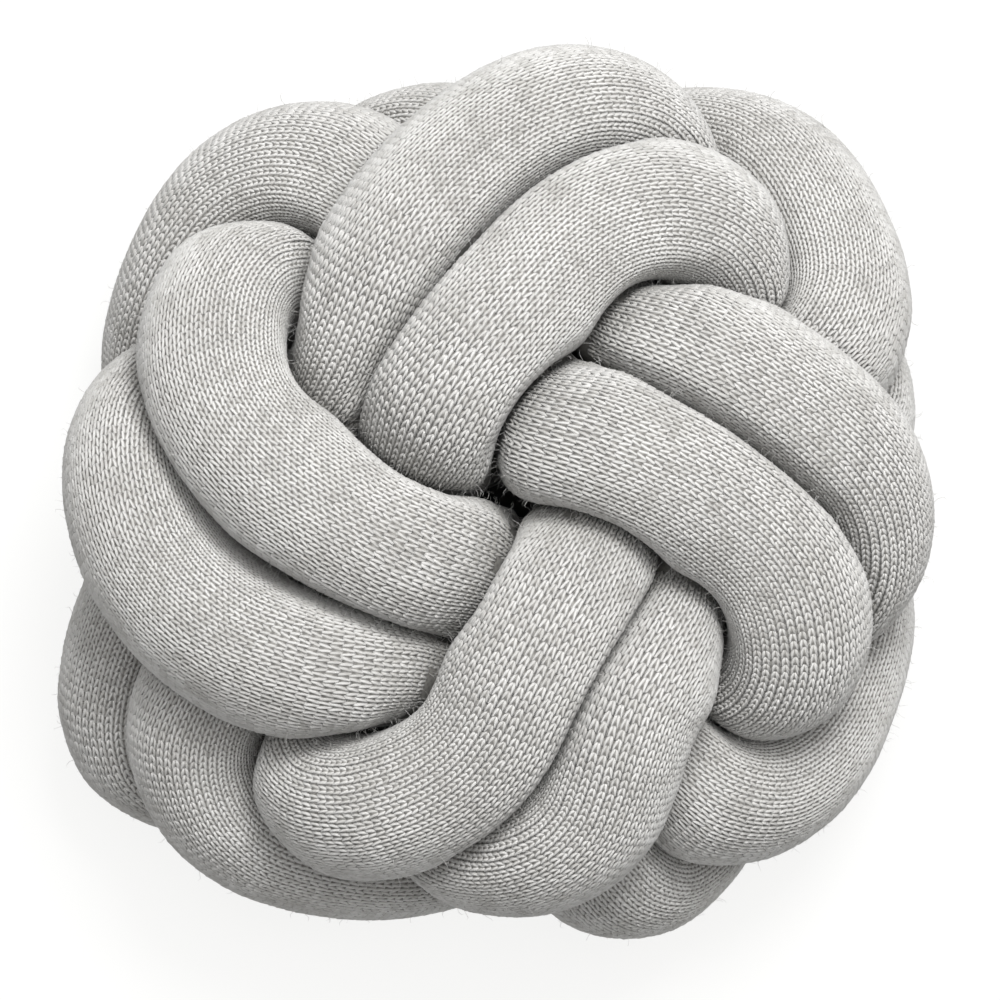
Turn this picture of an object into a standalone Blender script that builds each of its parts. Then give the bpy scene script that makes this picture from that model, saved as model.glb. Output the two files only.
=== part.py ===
"""Knot cushion: one long, stuffed tube of knitted cloth, tied into a flattened ball.

The tube goes round a Turk's head knot of three leads and four bights twice, side by
side, so that every fold is a pair. Both ends are tucked away inside the knot.
Metres, +Z up. The origin is under the middle of the outline, on the surface below.
"""

import math
from collections import namedtuple

import bmesh
import bpy
import numpy as np

MM = 0.001

# The tube
TUBE_RADIUS = 29 * MM
RINGS = 322
SIDES = 18
END_ROUNDING = 24 * MM

# The knot: three turns round the axis, four folds over the top and four below
TURNS = 3
BIGHTS = 4
FACING = math.radians(-53)
WHOLE = 2 * math.pi * TURNS

# The route as first drawn, on an egg-flat shape
DRAWN_REACH = 92 * MM
DRAWN_RISE = 50 * MM
DRAWN_POLE = math.radians(60)
DRAWN_LIFT = 18 * MM
DRAWN_APART = 41 * MM

# The tube changes from the first lane to the second inside the knot, where its ends lie
JOIN_BIGHT = 2
JOIN_PHASE = 145
LANE_SHIFT = 0.032
END_GAP = 0.012

# How the drawn route is pulled tight
STEPS = 500
LINK = 10.3 * MM
STRAND_SPACING = 42.5 * MM
ALONG_FREE = 66 * MM
STIFFNESS = 0.48
CROWDING = 0.45
PRESS = 0.5
HOLD = 0.25

# The heights that the tube's middle keeps to: the top is level round the hole, and
# falls away from there out, so that each inner tube rides up on the outer one
HALF_HEIGHT = 51 * MM
CROWN_REACH = 60 * MM
CROWN_SLOPE = 0.45
CROWN_FALL = 30 * MM

# The cross-section: how it flattens on its neighbours and on the surface below
SEAM_GAP = 2.2 * MM
SHOULDER = 14 * MM
OWN_BEND = 18 * MM
REST_FLAT = 3.5 * MM
NEAR_ZERO = 1e-9

# Where each fold lies, seen from above. Lane -1 is the inner tube of the pair on top.
# turn: degrees round the hole from +X; reach: mm from the hole to the tube's middle.
# near: beside the hole; mid: half-way out; tip: where it turns down; rim: the same
# tube's next fold, where it comes round the outer edge.
Fold = namedtuple("Fold", "pair lane near_turn near_reach mid_turn mid_reach "
                          "tip_turn tip_reach rim_turn rim_reach")
FOLDS = (
    Fold("front", -1, -34, 35, -87, 70, -119, 113, 148, 127),
    Fold("right", -1, 45, 35, -3, 65, -6, 77, -117, 127),
    Fold("back", -1, 148, 36, 89, 73, 69, 96, -19, 119),
    Fold("left", -1, 207, 35, 177, 70, 143, 113, 49, 141),
    Fold("front", 1, -60, 78, -84, 101, -90, 108, 111, 119),
    Fold("right", 1, 31, 84, 11, 102, -3, 112, -147, 151),
    Fold("back", 1, 125, 78, 102, 101, 98, 106, -71, 134),
    Fold("left", 1, 223, 78, 204, 105, 184, 118, 22, 117),
)
PAIR_ORDER = ("front", "right", "back", "left")

# Where along a fold its four places are, in degrees of the fold's wave, by lane
Stations = namedtuple("Stations", "near mid tip rim")
STATIONS = {-1: Stations(0, 36, 80, 248), 1: Stations(0, 30, 66, 258)}

# Where the two hidden ends lie
TubeEnd = namedtuple("TubeEnd", "ring turn reach height")
TUBE_ENDS = (TubeEnd(0, 35, 43, -23), TubeEnd(-1, 32, 85, -10))


def polar(turn, reach):
    """A place on the plan, from degrees round the hole and millimetres out from it."""
    angle = math.radians(turn)
    return reach * MM * math.cos(angle), reach * MM * math.sin(angle)


def unit(vectors):
    return vectors / np.linalg.norm(vectors, axis=-1, keepdims=True)


def spheroid_path(t):
    """The knot's plain path over a flattened ball, and the outward direction there."""
    pole = math.pi / 2 - DRAWN_POLE * np.cos(BIGHTS / TURNS * t)
    turn = FACING - t
    path = np.stack([DRAWN_REACH * np.sin(pole) * np.cos(turn),
                     DRAWN_REACH * np.sin(pole) * np.sin(turn),
                     DRAWN_RISE * np.cos(pole)], axis=-1)
    axes = np.array([DRAWN_REACH, DRAWN_REACH, DRAWN_RISE])
    return path, unit(path / axes ** 2)


def drawn_route():
    """Evenly spaced points along the tube, with their knot angle and their lane."""
    join = (JOIN_BIGHT + JOIN_PHASE / 360) / BIGHTS * WHOLE
    passes = np.linspace(END_GAP, 2 - END_GAP, RINGS * 4)
    t = join + passes * WHOLE
    change = np.clip((passes - 1) / LANE_SHIFT, -1, 1)
    lane = 0.5 * change ** 3 - 1.5 * change
    path, outward = spheroid_path(t)
    ahead, _ = spheroid_path(t + 1e-4)
    across = np.cross(outward, unit(ahead - path))
    weave = DRAWN_LIFT * np.sin(2 * BIGHTS / TURNS * t)
    points = path + across * (lane * DRAWN_APART / 2)[:, None] + outward * weave[:, None]
    steps = np.linalg.norm(np.diff(points, axis=0), axis=1)
    length = np.concatenate([[0.0], np.cumsum(steps)])
    even = np.linspace(0, length[-1], RINGS)
    route = np.stack([np.interp(even, length, points[:, axis]) for axis in range(3)], axis=-1)
    return route, np.interp(even, length, t), np.interp(even, length, lane)


def fold_guides(t, lane):
    """For each place in FOLDS: its ring, its plan point, and 1 if it holds lengthways."""
    guides = []
    for fold in FOLDS:
        places = ((fold.near_turn, fold.near_reach, 0), (fold.mid_turn, fold.mid_reach, 0),
                  (fold.tip_turn, fold.tip_reach, 1), (fold.rim_turn, fold.rim_reach, 1))
        for phase, (turn, reach, lengthways) in zip(STATIONS[fold.lane], places):
            wanted = (PAIR_ORDER.index(fold.pair) + phase / 360) / BIGHTS * WHOLE
            away = np.abs((t - wanted + WHOLE / 2) % WHOLE - WHOLE / 2)
            away[np.sign(lane) != fold.lane] = WHOLE
            guides.append((int(np.argmin(away)), *polar(turn, reach), lengthways))
    return guides


def tighten(route):
    """Pull each link towards its short length."""
    link = route[1:] - route[:-1]
    length = np.linalg.norm(link, axis=1, keepdims=True)
    pull = 0.25 * (length - LINK) / length * link
    route[:-1] += pull
    route[1:] -= pull


def straighten(route):
    """Even out the bends, as a stuffed tube does."""
    bend = np.zeros_like(route)
    bend[1:-1] = 0.5 * (route[2:] + route[:-2]) - route[1:-1]
    route[1:-1] -= STIFFNESS * (0.5 * (bend[2:] + bend[:-2]) - bend[1:-1])


def spread(route, apart):
    """Push strands that crowd each other away from each other."""
    between = route[:, None] - route[None]
    distance = np.sqrt((between * between).sum(axis=-1)) + NEAR_ZERO
    crowd = np.where(apart & (distance < STRAND_SPACING), STRAND_SPACING - distance, 0.0)
    count = np.maximum((crowd > 0).sum(axis=1), 1)
    push = ((crowd / distance)[:, :, None] * between).sum(axis=1)
    route += CROWDING * push / count[:, None]


def hold_folds(route, guides):
    """Draw each guided place, and its neighbours less, towards its point on the plan."""
    rings = np.array([guide[0] for guide in guides])
    plan = np.array([guide[1:3] for guide in guides])
    lengthways = np.array([guide[3] for guide in guides])
    along = route[rings + 1] - route[rings - 1]
    along[:, 2] = 0
    along = unit(along)
    miss = np.zeros((len(guides), 3))
    miss[:, :2] = plan - route[rings, :2]
    slide = (miss * along).sum(axis=1) * (1 - lengthways)
    miss -= along * slide[:, None]
    for offset, share in ((-2, 0.3), (-1, 0.7), (0, 1.0), (1, 0.7), (2, 0.3)):
        ring = np.clip(rings + offset, 0, RINGS - 1)
        np.add.at(route, ring, HOLD * share * miss)


def hold_ends(route):
    """Keep the two tucked ends in their places."""
    for end in TUBE_ENDS:
        place = np.array([*polar(end.turn, end.reach), end.height * MM])
        route[end.ring] += PRESS * (place - route[end.ring])


def crown(route):
    """How high the tube's middle may lie: level round the hole, lower out towards the rim."""
    reach = np.hypot(route[:, 0], route[:, 1])
    return HALF_HEIGHT - np.clip(CROWN_SLOPE * (reach - CROWN_REACH), 0, CROWN_FALL)


def settled_route():
    """The drawn route pulled tight, with its strands lying against each other."""
    route, t, lane = drawn_route()
    guides = fold_guides(t, lane)
    ring = np.arange(RINGS)
    apart = np.abs(ring[:, None] - ring[None]) * LINK > ALONG_FREE
    for _ in range(STEPS):
        for _ in range(3):
            tighten(route)
        straighten(route)
        spread(route, apart)
        height = np.clip(route[:, 2], -HALF_HEIGHT, crown(route))
        route[:, 2] += PRESS * (height - route[:, 2])
        hold_folds(route, guides)
        hold_ends(route)
    return route


def refined(points, parts):
    """The same line with parts steps for each of its own, on a smooth curve."""
    ends = np.concatenate([2 * points[:1] - points[1:2], points, 2 * points[-1:] - points[-2:-1]])
    before, here, after, beyond = ends[:-3], ends[1:-2], ends[2:-1], ends[3:]
    u = (np.arange(parts) / parts)[None, :, None]
    a, b, c, d = (side[:, None] for side in (before, here, after, beyond))
    curve = 0.5 * (2 * b + (c - a) * u + (2 * a - 5 * b + 4 * c - d) * u ** 2
                   + (3 * b - a - 3 * c + d) * u ** 3)
    return np.concatenate([curve.reshape(-1, 3), points[-1:]])


def directions(route):
    """For each ring, the directions from its middle to its corners, without a twist."""
    along = unit(np.gradient(route, axis=0))
    side = np.cross(along[0], [0.0, 0.0, 1.0])
    angle = np.arange(SIDES) / SIDES * 2 * math.pi
    spokes = np.empty((len(route), SIDES, 3))
    for ring, forward in enumerate(along):
        side = side - forward * (forward * side).sum()
        side = side / math.sqrt((side * side).sum())
        up = np.cross(forward, side)
        spokes[ring] = np.cos(angle)[:, None] * side + np.sin(angle)[:, None] * up
    return spokes


def free_radius(route, spokes):
    """How far out each spoke gets before it is as near to another part of the tube.

    Places nearer than OWN_BEND are the same stretch of the tube, and don't count.
    """
    middles = refined(route, 3)
    free = np.empty(spokes.shape[:2])
    for ring, centre in enumerate(route):
        towards = middles - centre
        distance = (towards * towards).sum(axis=1)
        facing = (spokes[ring][:, None] * towards[None]).sum(axis=-1)
        meets = (facing > 0.02 * np.sqrt(distance)) & (distance > OWN_BEND ** 2)
        free[ring] = np.where(meets, distance / (2 * np.maximum(facing, NEAR_ZERO)), 1.0).min(axis=1)
    return free


def soft_minimum(first, second, blend):
    """The smaller of two lengths, rounded off where they are nearly the same."""
    share = np.clip(0.5 + 0.5 * (first - second) / blend, 0, 1)
    return first * (1 - share) + second * share - blend * share * (1 - share)


def tube_surface(route):
    """The tube's corners, ring by ring, flattened where it meets itself."""
    spokes = directions(route)
    room = np.minimum(free_radius(route, spokes) - SEAM_GAP / 2, 2 * TUBE_RADIUS)
    radius = soft_minimum(room, TUBE_RADIUS, SHOULDER)
    steps = np.linalg.norm(np.diff(route, axis=0), axis=1)
    from_start = np.concatenate([[0.0], np.cumsum(steps)])
    to_end = np.minimum(from_start, from_start[-1] - from_start)
    rounding = 1 - np.clip(to_end / END_ROUNDING, 0, 1)
    radius *= np.sqrt(1 - rounding ** 2)[:, None]
    surface = route[:, None] + spokes * radius[..., None]
    surface[..., 2] = np.maximum(surface[..., 2], -HALF_HEIGHT - TUBE_RADIUS + REST_FLAT)
    return surface


def stood_on_origin(surface):
    """Put the middle of the outline over the origin, and the flats at height zero."""
    low = surface.reshape(-1, 3).min(axis=0)
    high = surface.reshape(-1, 3).max(axis=0)
    return surface - np.array([(low[0] + high[0]) / 2, (low[1] + high[1]) / 2, low[2]])


def tube_mesh(name, surface):
    """A closed mesh: rings of corners, and one point at each end."""
    mesh = bpy.data.meshes.new(name)
    work = bmesh.new()
    start = work.verts.new(surface[0].mean(axis=0))
    rings = [[work.verts.new(corner) for corner in ring] for ring in surface[1:-1]]
    end = work.verts.new(surface[-1].mean(axis=0))
    for side in range(SIDES):
        following = (side + 1) % SIDES
        work.faces.new((start, rings[0][following], rings[0][side]))
        work.faces.new((end, rings[-1][side], rings[-1][following]))
        for ring, ahead in zip(rings, rings[1:]):
            work.faces.new((ring[side], ring[following], ahead[following], ahead[side]))
    bmesh.ops.recalc_face_normals(work, faces=work.faces)
    work.to_mesh(mesh)
    work.free()
    mesh.shade_smooth()
    return mesh


def knitted_wool():
    """Pale grey flecked wool: matt, with no shine of its own."""
    material = bpy.data.materials.new("knitted_wool")
    material.use_nodes = True
    shader = material.node_tree.nodes["Principled BSDF"]
    shader.inputs["Base Color"].default_value = (0.51, 0.50, 0.48, 1.0)
    shader.inputs["Roughness"].default_value = 0.95
    shader.inputs["Metallic"].default_value = 0.0
    return material


def main():
    for old in list(bpy.data.objects):
        bpy.data.objects.remove(old, do_unlink=True)
    surface = stood_on_origin(tube_surface(settled_route()))
    mesh = tube_mesh("knotted_tube", surface)
    mesh.materials.append(knitted_wool())
    cushion = bpy.data.objects.new("knotted_tube", mesh)
    bpy.context.scene.collection.objects.link(cushion)


main()
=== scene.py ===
"""Knot cushion: a stuffed tube of knitted wool tied into a flattened ball, seen from above.

The tube follows the same route as the frame's solid. Its cloth is a smooth inner face in the
tube's shape, with a raised stitch on it wherever the knit can be seen, and loose fibres.
"""

import math
from collections import namedtuple
from functools import lru_cache

import bmesh
import bpy
import numpy as np
from bpy.props import FloatProperty, FloatVectorProperty, IntProperty, PointerProperty
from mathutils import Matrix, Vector
from mathutils.bvhtree import BVHTree


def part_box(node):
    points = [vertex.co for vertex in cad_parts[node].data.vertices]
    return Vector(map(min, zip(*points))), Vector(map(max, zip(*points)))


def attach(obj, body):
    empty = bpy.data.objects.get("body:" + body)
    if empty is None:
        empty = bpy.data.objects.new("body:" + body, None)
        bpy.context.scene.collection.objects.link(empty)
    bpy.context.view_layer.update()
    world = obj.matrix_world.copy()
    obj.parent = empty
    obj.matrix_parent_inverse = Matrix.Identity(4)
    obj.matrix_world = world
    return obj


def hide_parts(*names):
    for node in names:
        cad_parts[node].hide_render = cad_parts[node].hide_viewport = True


bl_info = {
    "name": "Knot cushion",
    "version": (1, 0, 0),
    "blender": (4, 5, 0),
    "location": "View3D > Sidebar > Knot cushion",
    "description": "A knitted tube tied into a cushion, with its stitches and its fuzz",
    "category": "Object",
}

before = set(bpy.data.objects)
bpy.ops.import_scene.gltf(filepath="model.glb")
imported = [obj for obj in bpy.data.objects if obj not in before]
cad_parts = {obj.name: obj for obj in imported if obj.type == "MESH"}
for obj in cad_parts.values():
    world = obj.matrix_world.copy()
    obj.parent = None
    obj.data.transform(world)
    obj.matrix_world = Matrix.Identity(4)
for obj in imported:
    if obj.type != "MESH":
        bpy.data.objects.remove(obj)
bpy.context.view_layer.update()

MM = 0.001

# From here to the tube's ends, the sizes are those of the frame's solid, and so are the steps
# that lead from them to the route. The tube:
TUBE_RADIUS = 29 * MM
RINGS = 322
END_ROUNDING = 24 * MM

# The knot: three turns round the axis, four folds over the top and four below
TURNS = 3
BIGHTS = 4
FACING = math.radians(-53)
WHOLE = 2 * math.pi * TURNS

# The route as first drawn, on a flattened ball, with the points drawn for each ring and how far
# on its direction is looked up
POINTS_A_RING = 4
DRAWN_REACH = 92 * MM
DRAWN_RISE = 50 * MM
DRAWN_POLE = math.radians(60)
DRAWN_LIFT = 18 * MM
DRAWN_APART = 41 * MM
LOOK_AHEAD = 1e-4

# The tube changes from the first lane to the second inside the knot, where its ends lie
JOIN_BIGHT = 2
JOIN_PHASE = 145
LANE_SHIFT = 0.032
END_GAP = 0.012

# How the drawn route is pulled tight; HELD_WITH gives the rings that a held place takes along
# and their shares of its move
STEPS = 500
PULLS = 3
PULL = 0.25
LINK = 10.3 * MM
STRAND_SPACING = 42.5 * MM
ALONG_FREE = 66 * MM
STIFFNESS = 0.48
CROWDING = 0.45
PRESS = 0.5
HOLD = 0.25
HELD_WITH = ((-2, 0.3), (-1, 0.7), (0, 1.0), (1, 0.7), (2, 0.3))

# The heights that the tube's middle keeps to: the top is level round the hole, and falls away
# from there out, so that each inner tube rides up on the outer one
HALF_HEIGHT = 51 * MM
CROWN_REACH = 60 * MM
CROWN_SLOPE = 0.45
CROWN_FALL = 30 * MM

# The cross-section, which flattens on the surface below and on its neighbours. Places nearer
# than OWN_BEND are the same stretch of the tube, and don't count. LEAST_FACING is the cosine
# from which a spoke points at a place, and FAR_OFF a spoke's free length where it meets none.
REST_FLAT = 3.5 * MM
OWN_BEND = 18 * MM
PLACES_A_RING = 3
LEAST_FACING = 0.02
FAR_OFF = 1.0
NEAR_ZERO = 1e-9

# Where each fold lies, seen from above. Lane -1 is the inner tube of the pair on top.
# turn: degrees round the hole from +X; reach: mm from the hole to the tube's middle.
# near: beside the hole; mid: half-way out; tip: where it turns down; rim: the same tube's
# next fold, where it comes round the outer edge.
Fold = namedtuple("Fold", "pair lane near_turn near_reach mid_turn mid_reach "
                          "tip_turn tip_reach rim_turn rim_reach")
FOLDS = (
    Fold("front", -1, -34, 35, -87, 70, -119, 113, 148, 127),
    Fold("right", -1, 45, 35, -3, 65, -6, 77, -117, 127),
    Fold("back", -1, 148, 36, 89, 73, 69, 96, -19, 119),
    Fold("left", -1, 207, 35, 177, 70, 143, 113, 49, 141),
    Fold("front", 1, -60, 78, -84, 101, -90, 108, 111, 119),
    Fold("right", 1, 31, 84, 11, 102, -3, 112, -147, 151),
    Fold("back", 1, 125, 78, 102, 101, 98, 106, -71, 134),
    Fold("left", 1, 223, 78, 204, 105, 184, 118, 22, 117),
)
PAIR_ORDER = ("front", "right", "back", "left")

# Where along a fold its four places are, in degrees of the fold's wave, by lane
Stations = namedtuple("Stations", "near mid tip rim")
STATIONS = {-1: Stations(0, 36, 80, 248), 1: Stations(0, 30, 66, 258)}

# Where the two hidden ends lie; height: mm above the knot's middle
TubeEnd = namedtuple("TubeEnd", "ring turn reach height")
TUBE_ENDS = (TubeEnd(0, 35, 43, -23), TubeEnd(-1, 32, 85, -10))

# The cloth's inner face: how far inside the solid it lies, how far above the floor it stays to
# leave room for the yarn, and over how much it rounds off where folds press together. The
# solid rounds off over 14 mm, so the creases are a little tighter here.
INNER_FACE = 0.75 * MM
UNDER_STITCHES = 1.2 * MM
SHOULDER = 12 * MM

# Over how many rings the tube's length is evened out before the courses are laid along it
EVEN_RINGS = 5

# The lumps of the stuffing: how many waves, the longest in courses, the shortest as a share of
# it, and the most of them round the tube
WAVES = 14
LONGEST_WAVE = 60
SHORTEST_WAVE = 0.35
WAVES_ROUND = 3

# How the cloth is looked at, to find where the knit can be seen: from every second corner, from
# a little way off it, along directions spread evenly over a ball, of which those count that
# rise from the cloth. A stitch is set where more than SEEN_ENOUGH of them are free.
LOOK_STEP = 2
LOOK_FROM = 0.5 * MM
LOOK_DIRECTIONS = 42
LOOK_RISE = 0.05
SEEN_ENOUGH = 0.08

# The share of free ways out of the cloth below which shade is painted on its yarn, and over how
# many corners to each side that share is evened out
CREASE_OPENS = 0.3
CREASE_EVEN = 3

# The tube's mesh has a ring on every second course, because the stitches hide it
RING_EVERY = 2

# One leg of a stitch, at the end where it leaves the stitch below and at the end where the
# next one covers it. across: wale widths from the stitch's middle; along: course heights;
# half_width: of the yarn, mm; ridge_: the top of its round there, with its height in mm
# above the cloth's inner face. Its sides start LEG_DEPTH below that face.
LegEnd = namedtuple("LegEnd", "across along half_width ridge_across ridge_along ridge_height")
LEG = (
    LegEnd(0.14, -0.68, 0.70, 0.19, -0.38, 0.48),
    LegEnd(0.36, 0.66, 0.68, 0.31, 0.38, 0.56),
)
LEG_DEPTH = 0.2 * MM

# A stitch is flatter or higher where its course is lower or taller, between these shares
HEIGHT_KEPT = (0.7, 1.1)

# Each of a stitch's two legs has two ends of a triangle and three sides of two; and the most
# triangles in a piece
STITCH_TRIANGLES = 16
PIECE_TRIANGLES = 199_000

# A stitch's own map is about a wale wide and a leg long. A leg's three corners lie half of
# LEG_MAP to each side of its ridge and on it, and the ridge LEG_PLACE beside the middle.
MAP_MIDDLE = 0.5
AROUND_LEG = (-0.5, 0.5, 0.0)
LEG_PLACE = 0.25
LEG_MAP = 0.4
SIDES_ALONG = (0.04, 0.96)
ENDS_ALONG = (0.02, 0.98)

# How much shade is painted on a leg's sides on that map, by their distance from its middle:
# towards the inside of the V, and towards the next wale
INSIDE_SHADE = {"From Min": LEG_PLACE - 0.12 * LEG_MAP, "From Max": LEG_PLACE - 0.45 * LEG_MAP,
                "To Max": 0.45}
OUTSIDE_SHADE = {"From Min": LEG_PLACE + 0.15 * LEG_MAP, "From Max": LEG_PLACE + 0.45 * LEG_MAP,
                 "To Max": 0.4}

# The yarn's streaks on a stitch's map, about 0.2 mm apart across a leg and 1.9 mm along it, how
# far each stitch moves them, and how high they stand; and the size of its paler and darker clouds
STREAKS = (16.0, 2.2, 1.0)
STREAKS_MOVE = (61.0, 37.0, 83.0)
STREAK_RELIEF = 0.12 * MM
CLOUD = 26 * MM

# How much darker fleece shows: in a streak, in a cloud, and where a stitch's yarn has more of it
DARK_STREAKS = {"From Min": 0.5, "From Max": 0.78, "To Max": 0.6}
DARK_CLOUDS = {"From Min": 0.3, "From Max": 0.7, "To Max": 0.3}
DARK_STITCHES = {"From Min": 0.3, "From Max": 1.0, "To Max": 0.4}

# The openings between the loops behind the stitches, painted dark as shade: how far past a
# course's ring they lie, in courses, and how strongly they show
OPENINGS_PAST = 0.25
OPENINGS_SHOW = {"From Min": -0.2, "From Max": 0.9, "To Max": 0.45}

# A loose fibre, one unit tall: how far it bends to one side and to the other, through what
# angles, how much height that takes, its radius at the root, and how much of that it loses
FIBRE_ASIDE = 0.42
FIBRE_ASIDE_ANGLE = 2.6
FIBRE_OVER = 0.25
FIBRE_OVER_ANGLE = 3.2
FIBRE_DROOP = 0.3
FIBRE_THICKNESS = 0.02
FIBRE_THINS = 0.6

# How loose fibres stand: the lowest place for one, how its chance falls as more of the cloth is
# seen, its lean in radians, its least and greatest size, and the cells across the fibres' map
FUZZ_FROM = 12 * MM
FUZZ_CHANCE = 1.15
FUZZ_FALLS = 1.9
FUZZ_LIMITS = (0.2, 1.0)
FIBRE_LEAN = 0.9
FIBRE_LEAST = (0.5, 0.5, 0.5)
FIBRE_MOST = (1.5, 1.5, 1.6)
FIBRE_CELLS = 110.0

# The photograph's view: straight down, from a long way off
CAMERA_RISE = 1.8
CAMERA_SIDE = -3.4 * MM
FIELD = 339 * MM
SENSOR = 36.0

# The studio's two lamps: where they stand and how wide they are, in metres
KEY_PLACE = (0.42, 1.12, 1.85)
KEY_ACROSS = 0.9
OVERHEAD_PLACE = (0.1, 0.5, 2.3)
OVERHEAD_ACROSS = 2.6

# The floor: half its width in metres, the share of light that it sends back, how strongly it
# glows, and from where under the knot to where beside it that glow grows
FLOOR_HALF = 6.0
FLOOR_RETURN = 0.15
FLOOR_GLOW = 0.9
GLOW_STARTS = 90 * MM
GLOW_FULL = 140 * MM


def linear(code):
    """The linear colour of an sRGB hex value."""
    parts = [int(code[place:place + 2], 16) / 255 for place in (1, 3, 5)]
    return tuple(part / 12.92 if part <= 0.04045 else ((part + 0.055) / 1.055) ** 2.4
                 for part in parts)


class KnitSizes(bpy.types.PropertyGroup):
    """Sizes of the knitted cloth."""

    wales: IntProperty(
        name="Wales", description="Columns of stitches round the tube", default=56, min=12)
    course_height: FloatProperty(
        name="Course height", description="Height of one row of stitches, where the tube shows",
        default=3.05 * MM, min=1 * MM, unit="LENGTH")
    seam_gap: FloatProperty(
        name="Seam gap", description="Between the inner faces of cloth where tubes press together",
        default=1.6 * MM, min=0, unit="LENGTH")
    unevenness: FloatProperty(
        name="Unevenness", description="How much stitches differ in size and place",
        default=0.08, min=0, max=0.5, subtype="FACTOR")
    lumps: FloatProperty(
        name="Lumps", description="How far the stuffing pushes the cloth out or lets it sink",
        default=0.45 * MM, min=0, unit="LENGTH")
    fuzz_length: FloatProperty(
        name="Fuzz length", description="Length of a loose fibre",
        default=4.6 * MM, min=0, unit="LENGTH")
    fuzz_density: FloatProperty(
        name="Fuzz density", description="Loose fibres on a square metre of sheltered cloth",
        default=50000, min=0)
    seed: IntProperty(name="Seed", description="Picks the unevenness", default=11)


class KnitColours(bpy.types.PropertyGroup):
    """Colours of the yarn, and of the shade painted on it."""

    yarn: FloatVectorProperty(
        name="Yarn", description="Most of the yarn", size=3, subtype="COLOR",
        min=0, max=1, default=linear("#CCCBC9"))
    fleck: FloatVectorProperty(
        name="Fleck", description="Darker wool spun into the yarn", size=3, subtype="COLOR",
        min=0, max=1, default=linear("#A09E9A"))
    # Inner loops: the yarn painted darker as shade behind the stitches, and the shade painted on the
    # legs' sides
    inner: FloatVectorProperty(
        name="Inner loops", description="Yarn behind the stitches, in their shade", size=3,
        subtype="COLOR", min=0, max=1, default=linear("#8A8884"))
    # Crease: painted shade, mixed into the yarn deep between two folds
    crease_shade: FloatVectorProperty(
        name="Crease", description="Yarn deep between two folds", size=3, subtype="COLOR",
        min=0, max=1, default=linear("#57554F"))
    # Openings: painted shade, near black in the holes between the inner loops
    opening_shade: FloatVectorProperty(
        name="Openings", description="The dark between the inner loops", size=3, subtype="COLOR",
        min=0, max=1, default=linear("#272422"))


class StudioValues(bpy.types.PropertyGroup):
    """Floor and light."""

    floor: FloatVectorProperty(
        name="Floor", description="Colour of the floor", size=3, subtype="COLOR",
        min=0, max=1, default=linear("#F7F7F6"))
    key_power: FloatProperty(
        name="Key light", description="Power of the lamp beyond the top of the view, in watts",
        default=39, min=0)
    overhead_power: FloatProperty(
        name="Overhead light", description="Power of the wide lamp overhead, in watts",
        default=56, min=0)
    fill: FloatProperty(
        name="Fill", description="Strength of the even light from all round",
        default=0.14, min=0)


# The route: the same steps as in the frame's solid


def polar(turn, reach):
    """A place on the plan, from degrees round the hole and millimetres out from it."""
    angle = math.radians(turn)
    return reach * MM * math.cos(angle), reach * MM * math.sin(angle)


def unit(vectors):
    return vectors / np.linalg.norm(vectors, axis=-1, keepdims=True)


def spheroid_path(t):
    """The knot's plain path over a flattened ball, and the outward direction there."""
    pole = math.pi / 2 - DRAWN_POLE * np.cos(BIGHTS / TURNS * t)
    turn = FACING - t
    path = np.stack([DRAWN_REACH * np.sin(pole) * np.cos(turn),
                     DRAWN_REACH * np.sin(pole) * np.sin(turn),
                     DRAWN_RISE * np.cos(pole)], axis=-1)
    axes = np.array([DRAWN_REACH, DRAWN_REACH, DRAWN_RISE])
    return path, unit(path / axes ** 2)


def drawn_route():
    """Evenly spaced points along the tube, with their knot angle and their lane.

    The lane goes from 1 on the tube's first pass round the knot to -1 on its second.
    """
    join = (JOIN_BIGHT + JOIN_PHASE / 360) / BIGHTS * WHOLE
    passes = np.linspace(END_GAP, 2 - END_GAP, RINGS * POINTS_A_RING)
    t = join + passes * WHOLE
    change = np.clip((passes - 1) / LANE_SHIFT, -1, 1)
    lane = 0.5 * change ** 3 - 1.5 * change
    path, outward = spheroid_path(t)
    ahead, _ = spheroid_path(t + LOOK_AHEAD)
    across = np.cross(outward, unit(ahead - path))
    weave = DRAWN_LIFT * np.sin(2 * BIGHTS / TURNS * t)
    points = path + across * (lane * DRAWN_APART / 2)[:, None] + outward * weave[:, None]
    length = line_length(points)
    even = np.linspace(0, length[-1], RINGS)
    route = np.stack([np.interp(even, length, points[:, axis]) for axis in range(3)], axis=-1)
    return route, np.interp(even, length, t), np.interp(even, length, lane)


def fold_guides(t, lane):
    """For each place in FOLDS: its ring, its plan point, and 1 if it holds lengthways."""
    guides = []
    for fold in FOLDS:
        places = ((fold.near_turn, fold.near_reach, 0), (fold.mid_turn, fold.mid_reach, 0),
                  (fold.tip_turn, fold.tip_reach, 1), (fold.rim_turn, fold.rim_reach, 1))
        for phase, (turn, reach, lengthways) in zip(STATIONS[fold.lane], places):
            wanted = (PAIR_ORDER.index(fold.pair) + phase / 360) / BIGHTS * WHOLE
            away = np.abs((t - wanted + WHOLE / 2) % WHOLE - WHOLE / 2)
            away[np.sign(lane) != fold.lane] = WHOLE
            guides.append((int(np.argmin(away)), *polar(turn, reach), lengthways))
    return guides


def tighten(route):
    """Pull each link towards its short length."""
    link = route[1:] - route[:-1]
    length = np.linalg.norm(link, axis=1, keepdims=True)
    pull = PULL * (length - LINK) / length * link
    route[:-1] += pull
    route[1:] -= pull


def straighten(route):
    """Even out the bends, as a stuffed tube does."""
    bend = np.zeros_like(route)
    bend[1:-1] = 0.5 * (route[2:] + route[:-2]) - route[1:-1]
    route[1:-1] -= STIFFNESS * (0.5 * (bend[2:] + bend[:-2]) - bend[1:-1])


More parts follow.
